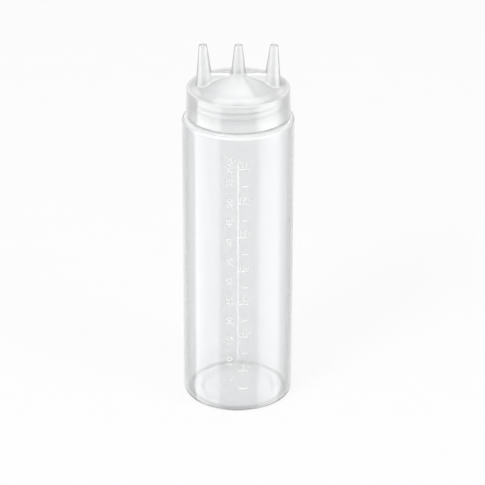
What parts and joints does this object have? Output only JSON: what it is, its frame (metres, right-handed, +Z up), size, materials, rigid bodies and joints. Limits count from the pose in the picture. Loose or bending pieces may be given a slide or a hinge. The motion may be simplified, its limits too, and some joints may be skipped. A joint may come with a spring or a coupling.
{
  "type": "squeeze bottle",
  "caption": "Cylindrical squeeze bottle with a raised measuring scale and a screw cap whose low cone carries a row of tapered pouring nozzles joined by a bar.",
  "frame": {"origin": "centre of the foot, on the surface that the bottle stands on", "axes": "+Z up along the bottle's axis; the nozzles stand in a row along X; the measuring scale faces -Y"},
  "size_m": [0.072, 0.0724, 0.2466],
  "materials": {
    "body_plastic": "natural translucent polyethylene, soft gloss",
    "seal_plastic": "soft milky foam polyethylene",
    "cap_plastic": "natural translucent polyethylene, soft gloss"
  },
  "bodies": {
    "bottle": {"bottle": "body_plastic"},
    "seal": {"neck_seal": "seal_plastic"},
    "cap": {"screw_cap": "cap_plastic"}
  },
  "joints": [
    {"name": "cap_lift", "type": "slide", "parent": "bottle", "child": "seal", "axis": [0, 0, 1], "range_m": [0, 0.0212]},
    {"name": "cap_turn", "type": "hinge", "parent": "seal", "child": "cap", "pos_m": [0, 0, 0.2], "axis": [0, 0, 1], "range_deg": [0, 1800]}
  ],
  "couplings": [
    {"joint": "cap_lift", "follows": "cap_turn", "m_per_rad": 0.00067323}
  ]
}
